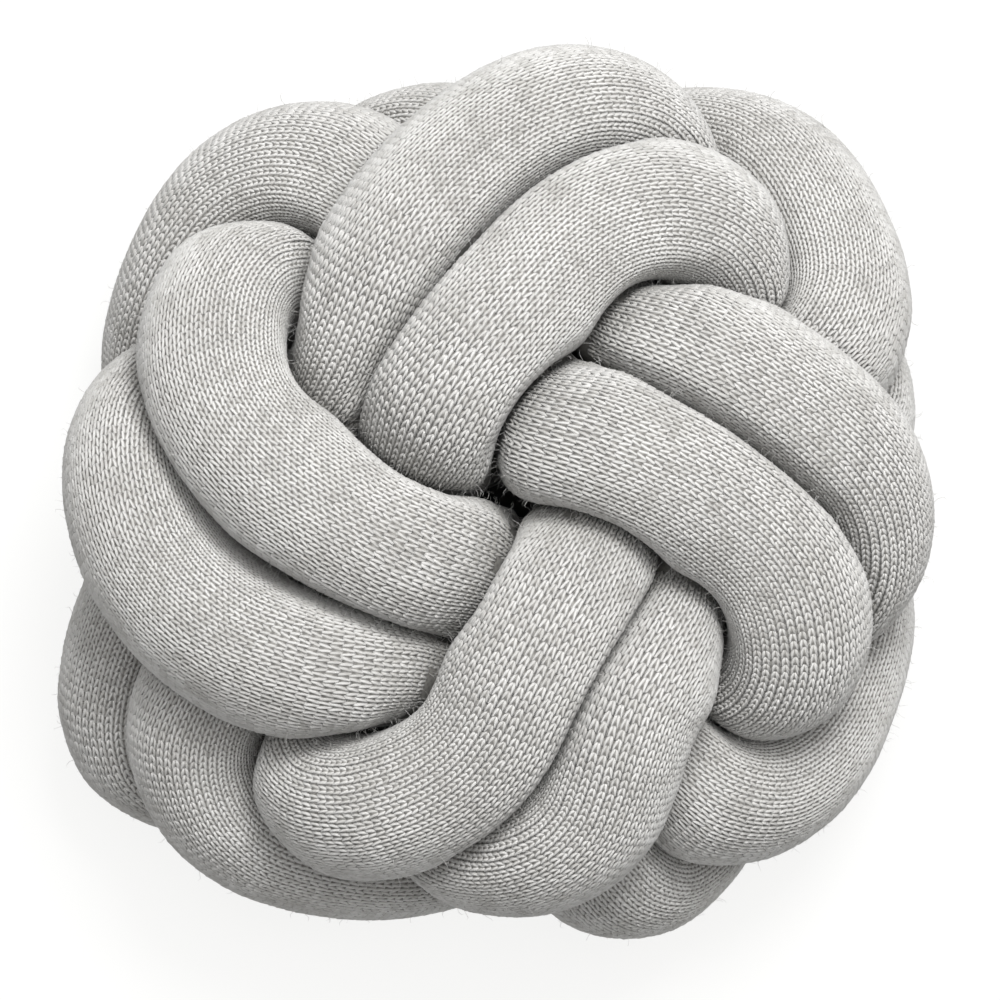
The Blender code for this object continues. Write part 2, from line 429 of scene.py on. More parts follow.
def spread(route, apart):
    """Push strands that crowd each other away from each other."""
    between = route[:, None] - route[None]
    distance = np.sqrt((between * between).sum(axis=-1)) + NEAR_ZERO
    crowd = np.where(apart & (distance < STRAND_SPACING), STRAND_SPACING - distance, 0.0)
    count = np.maximum((crowd > 0).sum(axis=1), 1)
    push = ((crowd / distance)[:, :, None] * between).sum(axis=1)
    route += CROWDING * push / count[:, None]


def hold_folds(route, guides):
    """Draw each guided place, and its neighbours less, towards its point on the plan."""
    rings = np.array([guide[0] for guide in guides])
    plan = np.array([guide[1:3] for guide in guides])
    lengthways = np.array([guide[3] for guide in guides])
    along = route[rings + 1] - route[rings - 1]
    along[:, 2] = 0
    along = unit(along)
    miss = np.zeros((len(guides), 3))
    miss[:, :2] = plan - route[rings, :2]
    slide = (miss * along).sum(axis=1) * (1 - lengthways)
    miss -= along * slide[:, None]
    for offset, share in HELD_WITH:
        ring = np.clip(rings + offset, 0, RINGS - 1)
        np.add.at(route, ring, HOLD * share * miss)


def hold_ends(route):
    """Keep the two tucked ends in their places."""
    for end in TUBE_ENDS:
        place = np.array([*polar(end.turn, end.reach), end.height * MM])
        route[end.ring] += PRESS * (place - route[end.ring])


def crown(route):
    """How high the tube's middle may lie: level round the hole, lower out towards the rim."""
    reach = np.hypot(route[:, 0], route[:, 1])
    return HALF_HEIGHT - np.clip(CROWN_SLOPE * (reach - CROWN_REACH), 0, CROWN_FALL)


def settled_route():
    """The drawn route pulled tight, with its strands lying against each other."""
    route, t, lane = drawn_route()
    guides = fold_guides(t, lane)
    ring = np.arange(RINGS)
    apart = np.abs(ring[:, None] - ring[None]) * LINK > ALONG_FREE
    for _ in range(STEPS):
        for _ in range(PULLS):
            tighten(route)
        straighten(route)
        spread(route, apart)
        height = np.clip(route[:, 2], -HALF_HEIGHT, crown(route))
        route[:, 2] += PRESS * (height - route[:, 2])
        hold_folds(route, guides)
        hold_ends(route)
    return route


def resampled(rings, places):
    """The rings, or points, at places counted in rings along the tube, on smooth curves."""
    ends = np.concatenate([2 * rings[:1] - rings[1:2], rings, 2 * rings[-1:] - rings[-2:-1]])
    whole = np.minimum(places.astype(int), len(rings) - 2)
    u = (places - whole).reshape(-1, *[1] * (rings.ndim - 1))
    a, b, c, d = (ends[whole + step] for step in range(4))
    return 0.5 * (2 * b + (c - a) * u + (2 * a - 5 * b + 4 * c - d) * u ** 2
                  + (3 * b - a - 3 * c + d) * u ** 3)


def fine_places(count, parts):
    """Places along a line of points, with parts steps for each of its own."""
    return np.arange((count - 1) * parts + 1) / parts


def line_length(points):
    """How far along a line each of its points is."""
    return np.concatenate([[0.0], np.cumsum(np.linalg.norm(np.diff(points, axis=0), axis=1))])


# The cloth's surface: one ring of corners for each course, one corner for each wale


def course_places(route, spokes, corners, course_height):
    """Where each course lies, counted in the route's rings: evenly spaced where it shows."""
    outward = unit(route / np.array([DRAWN_REACH, DRAWN_REACH, DRAWN_RISE]) ** 2)
    shows = np.clip((spokes * outward[:, None]).sum(axis=-1), 0, None)[1:] ** 2
    steps = np.linalg.norm(np.diff(corners, axis=0), axis=-1)
    steps = (steps * shows).sum(axis=1) / shows.sum(axis=1)
    steps = np.convolve(steps, np.ones(EVEN_RINGS) / EVEN_RINGS, "same")
    length = np.concatenate([[0.0], np.cumsum(steps)])
    even = np.linspace(0, length[-1], round(length[-1] / course_height))
    return np.interp(even, length, np.arange(len(route)))


def directions(route, sides):
    """For each ring, the directions from its middle to its corners, without a twist."""
    along = unit(np.gradient(route, axis=0))
    side = np.cross(along[0], [0.0, 0.0, 1.0])
    angle = np.arange(sides) / sides * 2 * math.pi
    spokes = np.empty((len(route), sides, 3))
    for ring, forward in enumerate(along):
        side = side - forward * (forward * side).sum()
        side = side / math.sqrt((side * side).sum())
        up = np.cross(forward, side)
        spokes[ring] = np.cos(angle)[:, None] * side + np.sin(angle)[:, None] * up
    return spokes


def free_radius(route, spokes):
    """How far out each spoke gets before it is as near to another part of the tube."""
    middles = resampled(route, fine_places(len(route), PLACES_A_RING))
    free = np.empty(spokes.shape[:2])
    for ring, centre in enumerate(route):
        towards = middles - centre
        squared = (towards * towards).sum(axis=1)
        facing = spokes[ring] @ towards.T
        meets = (facing > LEAST_FACING * np.sqrt(squared)) & (squared > OWN_BEND ** 2)
        half_way = squared / (2 * np.maximum(facing, NEAR_ZERO))
        free[ring] = np.where(meets, half_way, FAR_OFF).min(axis=1)
    return free


def soft_minimum(first, second, blend):
    """The smaller of two lengths, rounded off where they are nearly the same."""
    share = np.clip(0.5 + 0.5 * (first - second) / blend, 0, 1)
    return first * (1 - share) + second * share - blend * share * (1 - share)


def random_waves(rows, sides, rng):
    """Smooth unevenness from -1 to 1 over the rings and corners, from a few waves."""
    row = np.arange(rows)[:, None]
    turn = np.arange(sides)[None] / sides * 2 * math.pi
    total = np.zeros((rows, sides))
    for _ in range(WAVES):
        pace = 2 * math.pi / (LONGEST_WAVE * rng.uniform(SHORTEST_WAVE, 1.0))
        slant = rng.integers(-WAVES_ROUND, WAVES_ROUND + 1)
        total += np.cos(pace * row + slant * turn + rng.uniform(0, 2 * math.pi))
    return total / np.abs(total).max()


def cloth_surface(wales, course_height, seam_gap, lumps, rng):
    """The inner face of the knit, a corner for each stitch, and the middle of the knot."""
    route = settled_route()
    spokes = directions(route, wales)
    room = np.minimum(free_radius(route, spokes) - seam_gap / 2, 2 * TUBE_RADIUS)
    radius = soft_minimum(room, TUBE_RADIUS - INNER_FACE, SHOULDER)
    from_start = line_length(route)
    to_end = np.minimum(from_start, from_start[-1] - from_start)
    rounding = 1 - np.clip(to_end / END_ROUNDING, 0, 1)
    radius *= np.sqrt(1 - rounding ** 2)[:, None]
    corners = route[:, None] + spokes * radius[..., None]
    places = course_places(route, spokes, corners, course_height)
    bare = resampled(corners, places)
    out = unit(bare - resampled(route, places)[:, None] + NEAR_ZERO)
    surface = bare + out * (lumps * random_waves(len(places), wales, rng))[..., None]
    lowest = -HALF_HEIGHT - TUBE_RADIUS + REST_FLAT
    surface[..., 2] = np.maximum(surface[..., 2], lowest + UNDER_STITCHES)
    surface[0] = bare[0]
    surface[-1] = bare[-1]
    middle = knot_middle(surface, lowest)
    return surface + middle, middle


def knot_middle(surface, lowest):
    """Where the knot's middle lies in the frame: the cloth is centred in the solid's box."""
    low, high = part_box("knotted_tube")
    corners = surface[..., :2].reshape(-1, 2)
    middle = (corners.min(axis=0) + corners.max(axis=0)) / 2
    return np.array([(low.x + high.x) / 2 - middle[0], (low.y + high.y) / 2 - middle[1],
                     low.z - lowest])


def surface_ways(surface):
    """At each corner: one course along the tube, one wale across it, and a unit outwards."""
    onward = np.gradient(surface, axis=0)
    across = (np.roll(surface, -1, axis=1) - np.roll(surface, 1, axis=1)) / 2
    outward = unit(np.cross(across, onward) + NEAR_ZERO)
    return onward, across, outward


def new_object(name, mesh):
    made = bpy.data.objects.new(name, mesh)
    bpy.context.scene.collection.objects.link(made)
    return made


def mesh_points(rings):
    """A mesh's points from values on rings: one for each end, and one for each corner."""
    corners = rings[1:-1].reshape(-1, *rings.shape[2:])
    return np.concatenate([rings[0, :1], corners, rings[-1, :1]])


def tube_mesh(name, surface):
    """A closed mesh: rings of corners, one point at each end, and a map of its courses."""
    rows, sides = surface.shape[:2]
    side = np.arange(sides)
    ahead = (side + 1) % sides
    first = 1 + np.arange(rows - 3)[:, None] * sides
    quads = np.stack([first + side, first + ahead, first + sides + ahead, first + sides + side],
                     axis=-1)
    last = 1 + (rows - 3) * sides
    around = list(zip(side.tolist(), ahead.tolist()))
    faces = quads.reshape(-1, 4).tolist()
    faces += [(0, 1 + after, 1 + here) for here, after in around]
    faces += [(last + sides, last + here, last + after) for here, after in around]
    mesh = bpy.data.meshes.new(name)
    mesh.from_pydata(mesh_points(surface), [], faces)
    mesh.update()
    map_courses(mesh, rows, sides)
    mesh.shade_smooth()
    return mesh


def whole_numbers(items, name):
    """One whole number from each of a mesh's corners or faces."""
    numbers = np.empty(len(items), dtype=np.int32)
    items.foreach_get(name, numbers)
    return numbers


def map_courses(mesh, rows, sides):
    """A map that counts wales across and courses along, without a jump at its seam."""
    used = whole_numbers(mesh.loops, "vertex_index")
    face_start = whole_numbers(mesh.polygons, "loop_start")
    face_size = whole_numbers(mesh.polygons, "loop_total")
    course, wale = (mesh_points(count)[used].astype(float) for count in np.indices((rows, sides)))
    widest = np.maximum.reduceat(wale, face_start)
    wale[np.repeat(widest, face_size) - wale > sides / 2] += sides
    courses = np.stack([wale, course * RING_EVERY], axis=-1)
    mesh.uv_layers.new(name="courses").uv.foreach_set("vector", courses.astype(np.float32).ravel())


def seen_share(surface, outward):
    """For each corner, the share of straight ways out from it that meet no cloth."""
    rows, sides = surface.shape[:2]
    mesh = tube_mesh("looked_from", surface)
    tree = BVHTree.FromPolygons(mesh_points(surface).tolist(),
                                [tuple(face.vertices) for face in mesh.polygons])
    bpy.data.meshes.remove(mesh)
    golden_angle = math.pi * (3 - math.sqrt(5))
    turn = golden_angle * np.arange(LOOK_DIRECTIONS)
    rise = 1 - 2 * (np.arange(LOOK_DIRECTIONS) + 0.5) / LOOK_DIRECTIONS
    level = np.sqrt(1 - rise ** 2)
    ways = np.stack([level * np.cos(turn), level * np.sin(turn), rise], axis=-1)
    looks = [Vector(way) for way in ways]
    seen = np.zeros((rows, sides))
    for row in range(0, rows, LOOK_STEP):
        for side in range(0, sides, LOOK_STEP):
            start = Vector(surface[row, side] + outward[row, side] * LOOK_FROM)
            faced = np.nonzero(ways @ outward[row, side] > LOOK_RISE)[0]
            free = sum(tree.ray_cast(start, looks[way])[0] is None for way in faced)
            seen[row:row + LOOK_STEP, side:side + LOOK_STEP] = free / max(len(faced), 1)
    return seen


def crease_shade_mask(seen):
    """Painted shade, from 0 on open cloth to 1 deep in a crease, evened out over the neighbouring
    corners.
    """
    depth = np.clip(1 - seen / CREASE_OPENS, 0, 1)
    for axis in (0, 1):
        shifts = range(-CREASE_EVEN, CREASE_EVEN + 1)
        depth = sum(np.roll(depth, shift, axis=axis) for shift in shifts) / len(shifts)
    return depth


Cloth = namedtuple("Cloth", "surface onward across outward seen middle")


@lru_cache(maxsize=1)
def laid_cloth(wales, course_height, seam_gap, lumps, seed):
    """The knit's surface with its ways along, across and out, worked out once for all pieces."""
    rng = np.random.default_rng(seed)
    surface, middle = cloth_surface(wales, course_height, seam_gap, lumps, rng)
    onward, across, outward = surface_ways(surface)
    return Cloth(surface, onward, across, outward, seen_share(surface, outward), middle)


def cloth_of(sizes):
    return laid_cloth(sizes.wales, sizes.course_height, sizes.seam_gap, sizes.lumps, sizes.seed)


# Nodes


def add_node(tree, kind, feeds=None, **settings):
    """Add a node with its settings, and a value or a link for each input by its identifier."""
    node = tree.nodes.new(kind)
    for name, value in settings.items():
        setattr(node, name, value)
    ports = {port.identifier: port for port in node.inputs}
    for name, value in (feeds or {}).items():
        if isinstance(value, bpy.types.NodeSocket):
            tree.links.new(value, ports[name])
        else:
            ports[name].default_value = value
    return node


def tree_with_inputs(name, inputs):
    """A new tree of geometry nodes, with its named inputs as sockets to link from."""
    tree = bpy.data.node_groups.new(name, "GeometryNodeTree")
    tree.is_modifier = True
    tree.interface.new_socket("Geometry", in_out="OUTPUT", socket_type="NodeSocketGeometry")
    tree.interface.new_socket("Geometry", in_out="INPUT", socket_type="NodeSocketGeometry")
    for label, kind in inputs.items():
        tree.interface.new_socket(label, in_out="INPUT", socket_type="NodeSocket" + kind)
    return tree, tree.nodes.new("NodeGroupInput").outputs


def named(tree, name, kind="FLOAT"):
    """The values of an attribute that the mesh brings along."""
    node = add_node(tree, "GeometryNodeInputNamedAttribute", {"Name": name}, data_type=kind)
    return node.outputs["Attribute"]


def realized(tree, instances, cells, material):
    """Plain mesh from instances, each with a cell of its own on the map for baked colours."""
    whole = add_node(tree, "GeometryNodeRealizeInstances", {"Geometry": instances})
    cell = named(tree, "cell", "INT")
    column = add_node(tree, "ShaderNodeMath", {"Value": cell, "Value_001": cells}, operation="MODULO")
    share = add_node(tree, "ShaderNodeMath", {"Value": cell, "Value_001": cells}, operation="DIVIDE")
    row = add_node(tree, "ShaderNodeMath", {"Value": share.outputs[0]}, operation="FLOOR")
    corner = add_node(tree, "ShaderNodeCombineXYZ",
                      {"X": column.outputs[0], "Y": row.outputs[0]})
    inside = add_node(tree, "ShaderNodeVectorMath",
                      {"Vector": corner.outputs[0], "Vector_001": named(tree, "yarn", "FLOAT_VECTOR")},
                      operation="ADD")
    size = add_node(tree, "ShaderNodeCombineXYZ", {"X": cells, "Y": cells, "Z": 1.0})
    place = add_node(tree, "ShaderNodeVectorMath",
                     {"Vector": inside.outputs[0], "Vector_001": size.outputs[0]},
                     operation="DIVIDE")
    mapped = add_node(tree, "GeometryNodeStoreNamedAttribute",
                      {"Geometry": whole.outputs[0], "Name": "OFBake", "Value": place.outputs[0]},
                      data_type="FLOAT2", domain="CORNER")
    smooth = add_node(tree, "GeometryNodeSetShadeSmooth", {"Geometry": mapped.outputs[0]})
    dressed = add_node(tree, "GeometryNodeSetMaterial",
                       {"Geometry": smooth.outputs[0], "Material": material})
    tree.links.new(dressed.outputs[0], tree.nodes.new("NodeGroupOutput").inputs[0])


def leant(tree, rotation, least, most, seed):
    """A rotation, leant about its own axes by random angles between the least and the most."""
    angles = add_node(tree, "FunctionNodeRandomValue",
                      {"Min": least, "Max": most, "Seed": seed}, data_type="FLOAT_VECTOR")
    lean = add_node(tree, "FunctionNodeEulerToRotation", {"Euler": angles.outputs[0]})
    turned = add_node(tree, "FunctionNodeRotateRotation",
                      {"Rotation": rotation, "Rotate By": lean.outputs[0]},
                      rotation_space="LOCAL")
    return turned.outputs[0]


def flecked(tree, instances, seed):
    """The instances, each with a random value for how much darker wool it holds."""
    share = add_node(tree, "FunctionNodeRandomValue", {"Seed": seed}, data_type="FLOAT")
    marked = add_node(tree, "GeometryNodeStoreNamedAttribute",
                      {"Geometry": instances, "Name": "fleck", "Value": share.outputs[1]},
                      data_type="FLOAT", domain="INSTANCE")
    return marked.outputs[0]


def grown(source, name, tree, values):
    """What a tree makes from an object, as a plain mesh in an object of its own."""
    modifier = source.modifiers.new(name, "NODES")
    modifier.node_group = tree
    for item in tree.interface.items_tree:
        if item.in_out == "INPUT" and item.name in values:
            modifier[item.identifier] = values[item.name]
    depsgraph = bpy.context.evaluated_depsgraph_get()
    mesh = bpy.data.meshes.new_from_object(source.evaluated_get(depsgraph), depsgraph=depsgraph)
    source.modifiers.remove(modifier)
    mesh.name = name
    for spare in ("cell", "part", "outward", "onward", "size", "fluff"):
        if spare in mesh.attributes:
            mesh.attributes.remove(mesh.attributes[spare])
    return new_object(name, mesh)


def store(mesh, name, kind, values):
    """Give a mesh's points a value each."""
    field = "vector" if kind == "FLOAT_VECTOR" else "value"
    number = np.int32 if kind == "INT" else np.float32
    attribute = mesh.attributes.new(name, kind, "POINT")
    attribute.data.foreach_set(field, np.ascontiguousarray(values, dtype=number).ravel())


# Materials


def wool_shader(name, roughness, sheen):
    """A new material for wool: rough, hardly any gloss, and the pale edge of standing fibres."""
    material = bpy.data.materials.new(name)
    material.use_nodes = True
    shader = material.node_tree.nodes["Principled BSDF"]
    shader.inputs["Roughness"].default_value = roughness
    shader.inputs["Specular IOR Level"].default_value = 0.2
    shader.inputs["Sheen Weight"].default_value = sheen
    shader.inputs["Sheen Roughness"].default_value = 0.6
    return material, material.node_tree, shader


def yarn_material(colours):
    """Woollen yarn, carded and spun from pale and darker fleece: flecked, matt, faintly furry."""
    material, tree, shader = wool_shader("wool_yarn", roughness=0.9, sheen=0.2)
    fleck = add_node(tree, "ShaderNodeAttribute", attribute_name="fleck")
    place = add_node(tree, "ShaderNodeUVMap", uv_map="yarn")
    stretched = add_node(tree, "ShaderNodeVectorMath",
                         {"Vector": place.outputs["UV"], "Vector_001": STREAKS},
                         operation="MULTIPLY")
    shifted = add_node(tree, "ShaderNodeVectorMath",
                       {"Vector": fleck.outputs["Color"], "Vector_001": STREAKS_MOVE,
                        "Vector_002": stretched.outputs[0]}, operation="MULTIPLY_ADD")
    streaks = add_node(tree, "ShaderNodeTexNoise",
                       {"Vector": shifted.outputs[0], "Scale": 1.0, "Detail": 2.0})
    dark = add_node(tree, "ShaderNodeMapRange", {"Value": streaks.outputs["Fac"], **DARK_STREAKS})
    bulk = add_node(tree, "ShaderNodeTexCoord")
    cloudy = add_node(tree, "ShaderNodeTexNoise",
                      {"Vector": bulk.outputs["Object"], "Scale": 1 / CLOUD, "Detail": 1.0})
    clouds = add_node(tree, "ShaderNodeMapRange", {"Value": cloudy.outputs["Fac"], **DARK_CLOUDS})
    spun_darker = add_node(tree, "ShaderNodeMapRange",
                           {"Value": fleck.outputs["Fac"], **DARK_STITCHES})
    amount = add_node(tree, "ShaderNodeMath",
                      {"Value": dark.outputs[0], "Value_001": clouds.outputs[0]}, operation="ADD")
    blend = add_node(tree, "ShaderNodeMath",
                     {"Value": amount.outputs[0], "Value_001": spun_darker.outputs[0]},
                     operation="ADD")
    heather = add_node(tree, "ShaderNodeMix",
                       {"Factor_Float": blend.outputs[0], "A_Color": (*colours.yarn, 1.0),
                        "B_Color": (*colours.fleck, 1.0)}, data_type="RGBA")
    # Painted shade: the legs' sides darken towards the inner loops' colour
    colour = add_node(tree, "ShaderNodeMix",
                      {"Factor_Float": leg_side_shade(tree, place), "B_Color": (*colours.inner, 1.0),
                       "A_Color": heather.outputs["Result"]}, data_type="RGBA")
    relief = add_node(tree, "ShaderNodeBump",
                      {"Height": streaks.outputs["Fac"], "Strength": 0.5,
                       "Distance": STREAK_RELIEF})
    # Shade painted in deep between folds
    tree.links.new(with_crease_shade(tree, colour.outputs["Result"], colours), shader.inputs["Base Color"])
    tree.links.new(relief.outputs["Normal"], shader.inputs["Normal"])
    return material


def leg_side_shade(tree, place):
    """Shade painted on a leg where it lies deep in the knit, from its own map: most inside the
    stitch's V.
    """
    where = add_node(tree, "ShaderNodeSeparateXYZ", {"Vector": place.outputs["UV"]})
    aside = add_node(tree, "ShaderNodeMath",
                     {"Value": where.outputs["X"], "Value_001": MAP_MIDDLE}, operation="SUBTRACT")
    reach = add_node(tree, "ShaderNodeMath", {"Value": aside.outputs[0]}, operation="ABSOLUTE")
    inside, outside = (add_node(tree, "ShaderNodeMapRange", {"Value": reach.outputs[0], **shade})
                       for shade in (INSIDE_SHADE, OUTSIDE_SHADE))
    return add_node(tree, "ShaderNodeMath",
                    {"Value": inside.outputs[0], "Value_001": outside.outputs[0]},
                    operation="ADD").outputs[0]


def with_crease_shade(tree, colour, colours):
    """A colour of the cloth, with shade painted in where two folds press together."""
    crease_shade = add_node(tree, "ShaderNodeAttribute", attribute_name="crease_shade")
    mixed = add_node(tree, "ShaderNodeMix",
                     {"Factor_Float": crease_shade.outputs["Fac"], "A_Color": colour,
                      "B_Color": (*colours.crease_shade, 1.0)}, data_type="RGBA")
    return mixed.outputs["Result"]


def inner_material(colours):
    """The same yarn behind the stitches, in painted shade: crossing loops and small openings painted
    dark.
    """
    material, tree, shader = wool_shader("inner_loops", roughness=0.95, sheen=0.1)
    place = add_node(tree, "ShaderNodeUVMap", uv_map="courses")
    shifted = add_node(tree, "ShaderNodeVectorMath",
                       {"Vector": place.outputs["UV"], "Vector_001": (0.0, -OPENINGS_PAST, 0.0)},
                       operation="ADD")
    turns = add_node(tree, "ShaderNodeVectorMath",
                     {"Vector": shifted.outputs[0], "Scale": 2 * math.pi}, operation="SCALE")
    angles = add_node(tree, "ShaderNodeSeparateXYZ", {"Vector": turns.outputs[0]})
    across = add_node(tree, "ShaderNodeMath", {"Value": angles.outputs["X"]}, operation="COSINE")
    along = add_node(tree, "ShaderNodeMath", {"Value": angles.outputs["Y"]}, operation="COSINE")
    lattice = add_node(tree, "ShaderNodeMath",
                       {"Value": across.outputs[0], "Value_001": along.outputs[0]},
                       operation="MULTIPLY")
    opening_shade = add_node(tree, "ShaderNodeMapRange", {"Value": lattice.outputs[0], **OPENINGS_SHOW})
    # Painted shade: the inner loops' colour, darkest in the openings
    colour = add_node(tree, "ShaderNodeMix",
                      {"Factor_Float": opening_shade.outputs[0], "A_Color": (*colours.inner, 1.0),
                       "B_Color": (*colours.opening_shade, 1.0)}, data_type="RGBA")
    # Shade painted in deep between folds
    tree.links.new(with_crease_shade(tree, colour.outputs["Result"], colours), shader.inputs["Base Color"])
    return material


def fibre_material(colours):
    """Single wool fibres that stand off the yarn, flecked like it, with a faint sheen."""
    material, tree, shader = wool_shader("loose_fibre", roughness=0.7, sheen=0.3)
    fleck = add_node(tree, "ShaderNodeAttribute", attribute_name="fleck")
    colour = add_node(tree, "ShaderNodeMix",
                      {"Factor_Float": fleck.outputs["Fac"], "A_Color": (*colours.yarn, 1.0),
                       "B_Color": (*colours.fleck, 1.0)}, data_type="RGBA")
    tree.links.new(colour.outputs["Result"], shader.inputs["Base Color"])
    return material


# The pieces


def stitch_shape(name, wale_width, course_height):
    """One stitch: two full legs of yarn that meet in a V, each a closed form of its own."""
    mesh = bpy.data.meshes.new(name)
    work = bmesh.new()
    spun = work.loops.layers.uv.new("yarn")
    for hand in (-1, 1):
        start, end = (leg_corners(work, place, hand, wale_width, course_height) for place in LEG)
        faces = [(start, ENDS_ALONG), (end, ENDS_ALONG)]
        for side in range(3):
            after = (side + 1) % 3
            faces.append(((start[side], start[after], end[after], end[side]), SIDES_ALONG))
        for corners, (low, high) in faces:
            face = work.faces.new(corners)
            for loop in face.loops:
                around = AROUND_LEG[(start if loop.vert in start else end).index(loop.vert)]
                loop[spun].uv = (MAP_MIDDLE + hand * LEG_PLACE + LEG_MAP * around,
                                 high if loop.vert in end else low)
    bmesh.ops.recalc_face_normals(work, faces=work.faces)
    work.to_mesh(mesh)
    work.free()
    return mesh


def leg_corners(work, place, hand, wale_width, course_height):
    """A leg's three corners at one of its ends: low on both sides, and on its ridge."""
    foot = Vector((hand * place.across * wale_width, place.along * course_height, -LEG_DEPTH))
    wide = Vector((place.half_width * MM, 0, 0))
    ridge = Vector((hand * place.ridge_across * wale_width, place.ridge_along * course_height,
                    place.ridge_height * MM))
    return [work.verts.new(corner) for corner in (foot - wide, foot + wide, ridge)]


def stitch_tree():
    """Geometry nodes that set a stitch on each marked corner of the cloth."""
    tree, given = tree_with_inputs("stitches_on_courses", {
        "Stitch": "Object", "Part": "Int", "Cells": "Float", "Unevenness": "Float",
        "Seed": "Int", "Yarn": "Material"})
    mine = add_node(tree, "FunctionNodeCompare",
                    {"A_INT": named(tree, "part", "INT"), "B_INT": given["Part"]},
                    data_type="INT", operation="EQUAL")
    less = add_node(tree, "ShaderNodeMath",
                    {"Value": 1.0, "Value_001": given["Unevenness"]}, operation="SUBTRACT")
    more = add_node(tree, "ShaderNodeMath",
                    {"Value": 1.0, "Value_001": given["Unevenness"]}, operation="ADD")
    uneven = add_node(tree, "FunctionNodeRandomValue",
                      {"Min": less.outputs[0], "Max": more.outputs[0], "Seed": given["Seed"]},
                      data_type="FLOAT_VECTOR")
    size = add_node(tree, "ShaderNodeVectorMath",
                    {"Vector": named(tree, "size", "FLOAT_VECTOR"),
                     "Vector_001": uneven.outputs[0]}, operation="MULTIPLY")
    facing = add_node(tree, "FunctionNodeAxesToRotation",
                      {"Primary Axis": named(tree, "outward", "FLOAT_VECTOR"),
                       "Secondary Axis": named(tree, "onward", "FLOAT_VECTOR")},
                      primary_axis="Z", secondary_axis="Y")
    back = add_node(tree, "ShaderNodeMath", {"Value": given["Unevenness"], "Value_001": -1.0},
                    operation="MULTIPLY")
    turned = leant(tree, facing.outputs[0], back.outputs[0], given["Unevenness"], given["Seed"])
    shape = add_node(tree, "GeometryNodeObjectInfo", {"Object": given["Stitch"]})
    placed = add_node(tree, "GeometryNodeInstanceOnPoints",
                      {"Points": given["Geometry"], "Selection": mine.outputs[0],
                       "Instance": shape.outputs["Geometry"], "Rotation": turned,
                       "Scale": size.outputs[0]})
    marked = flecked(tree, placed.outputs[0], given["Seed"])
    realized(tree, marked, given["Cells"], given["Yarn"])
    return tree


def fibre_middle(share):
    """The middle of a fibre at a share of the way along it: it leans over and curls."""
    return Vector((FIBRE_ASIDE * math.sin(FIBRE_ASIDE_ANGLE * share),
                   FIBRE_OVER * (1 - math.cos(FIBRE_OVER_ANGLE * share)),
                   share * (1 - FIBRE_DROOP * share)))


def fibre_shape(name, rings=3, sides=3):
    """One loose fibre, a unit tall: a thin hair with a fine tip."""
    mesh = bpy.data.meshes.new(name)
    work = bmesh.new()
    spun = work.loops.layers.uv.new("yarn")
    angles = [turn / sides * 2 * math.pi for turn in range(sides)]
    ways = [Vector((math.cos(angle), math.sin(angle), 0)) for angle in angles]
    lines = []
    for ring in range(rings):
        share = ring / rings
        radius = FIBRE_THICKNESS * (1 - FIBRE_THINS * share)
        lines.append([work.verts.new(fibre_middle(share) + radius * way) for way in ways])
    tip = work.verts.new(fibre_middle(1.0))
    work.faces.new(lines[0])
    for side in range(sides):
        following = (side + 1) % sides
        for line, ahead in zip(lines, lines[1:]):
            work.faces.new((line[side], line[following], ahead[following], ahead[side]))
        work.faces.new((lines[-1][side], lines[-1][following], tip))
    bmesh.ops.recalc_face_normals(work, faces=work.faces)
    for face in work.faces:
        for loop in face.loops:
            loop[spun].uv = (MAP_MIDDLE + loop.vert.co.x, loop.vert.co.z)
    work.to_mesh(mesh)
    work.free()
    return mesh


def fibre_tree():
    """Geometry nodes that scatter loose fibres over the cloth, most where it is sheltered."""
    tree, given = tree_with_inputs("fibres_on_cloth", {
        "Fibre": "Object", "Density": "Float", "Length": "Float", "Cells": "Float",
        "Seed": "Int", "Yarn": "Material"})
    amount = add_node(tree, "ShaderNodeMath",
                      {"Value": named(tree, "fluff"), "Value_001": given["Density"]},
                      operation="MULTIPLY")
    points = add_node(tree, "GeometryNodeDistributePointsOnFaces",
                      {"Mesh": given["Geometry"], "Density": amount.outputs[0],
                       "Seed": given["Seed"]}, distribute_method="RANDOM")
    turned = leant(tree, points.outputs["Rotation"], (-FIBRE_LEAN, -FIBRE_LEAN, 0.0),
                   (FIBRE_LEAN, FIBRE_LEAN, 2 * math.pi), given["Seed"])
    uneven = add_node(tree, "FunctionNodeRandomValue",
                      {"Min": FIBRE_LEAST, "Max": FIBRE_MOST, "Seed": given["Seed"]},
                      data_type="FLOAT_VECTOR")
    size = add_node(tree, "ShaderNodeVectorMath",
                    {"Vector": uneven.outputs[0], "Scale": given["Length"]}, operation="SCALE")
    shape = add_node(tree, "GeometryNodeObjectInfo", {"Object": given["Fibre"]})
    placed = add_node(tree, "GeometryNodeInstanceOnPoints",
                      {"Points": points.outputs["Points"], "Instance": shape.outputs["Geometry"],
                       "Rotation": turned, "Scale": size.outputs[0]})
    marked = flecked(tree, placed.outputs[0], given["Seed"])
    order = add_node(tree, "GeometryNodeInputIndex")
    counted = add_node(tree, "GeometryNodeStoreNamedAttribute",
                       {"Geometry": marked, "Name": "cell", "Value": order.outputs[0]},
                       data_type="INT", domain="INSTANCE")
    realized(tree, counted.outputs[0], given["Cells"], given["Yarn"])
    return tree


